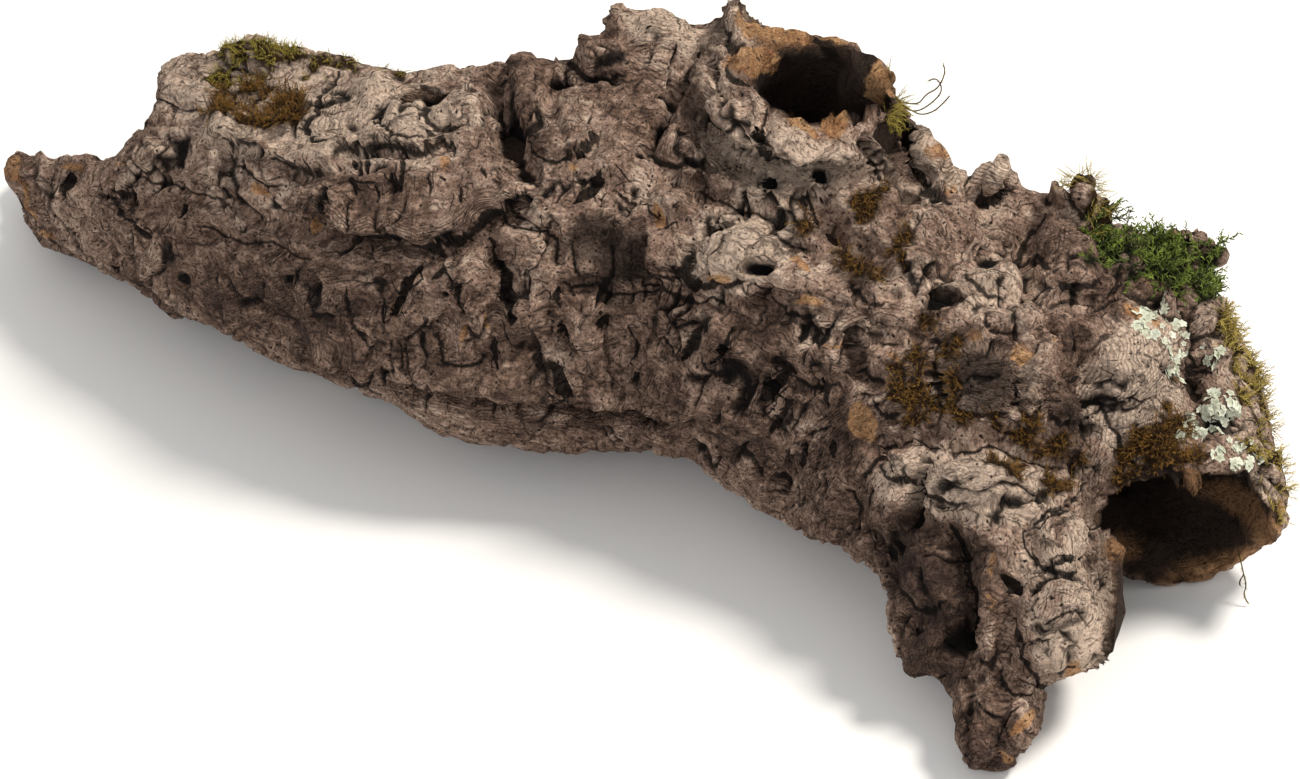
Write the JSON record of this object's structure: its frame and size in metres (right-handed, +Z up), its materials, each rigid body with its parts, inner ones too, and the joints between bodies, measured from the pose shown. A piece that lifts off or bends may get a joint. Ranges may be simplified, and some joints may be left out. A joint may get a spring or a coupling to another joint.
{
  "type": "piece of bark",
  "caption": "Hollow forked branch of raw cork oak bark lying on its side, open at both ends and at a broken side stub, with moss cushions and lichen growing on it.",
  "frame": {"origin": "on the ground plane, under the middle of the bounding box", "axes": "+Z up as it lies; +X the long way, from the broken thin end to the forked end; -Y the side that the leg and the right-hand mouth point to"},
  "size_m": [0.5326, 0.3794, 0.1713],
  "materials": {
    "cork_bark": "raw grey-brown cork bark, weathered and deeply fissured, tan where freshly broken",
    "moss_green": "dark green feathery moss",
    "moss_gold": "dried golden moss",
    "moss_olive": "dried olive moss",
    "moss_brown": "dead rust-brown moss",
    "lichen": "pale grey-green leafy lichen"
  },
  "bodies": {
    "root": {"bark": "cork_bark", "moss_green_cushion": "moss_green", "moss_gold_edge": "moss_gold", "moss_crest": "moss_olive", "moss_crest_thin": "moss_olive", "moss_stub_tuft": "moss_olive", "moss_knob_tuft": "moss_gold", "moss_brown_pit": "moss_brown", "moss_brown_hollow": "moss_brown", "moss_brown_gully": "moss_brown", "moss_brown_fork": "moss_brown", "moss_brown_lip": "moss_brown", "lichen_upper": "lichen", "lichen_lower": "lichen", "moss_strand_stub": "moss_gold", "moss_strand_mouth": "moss_gold"}
  },
  "joints": []
}
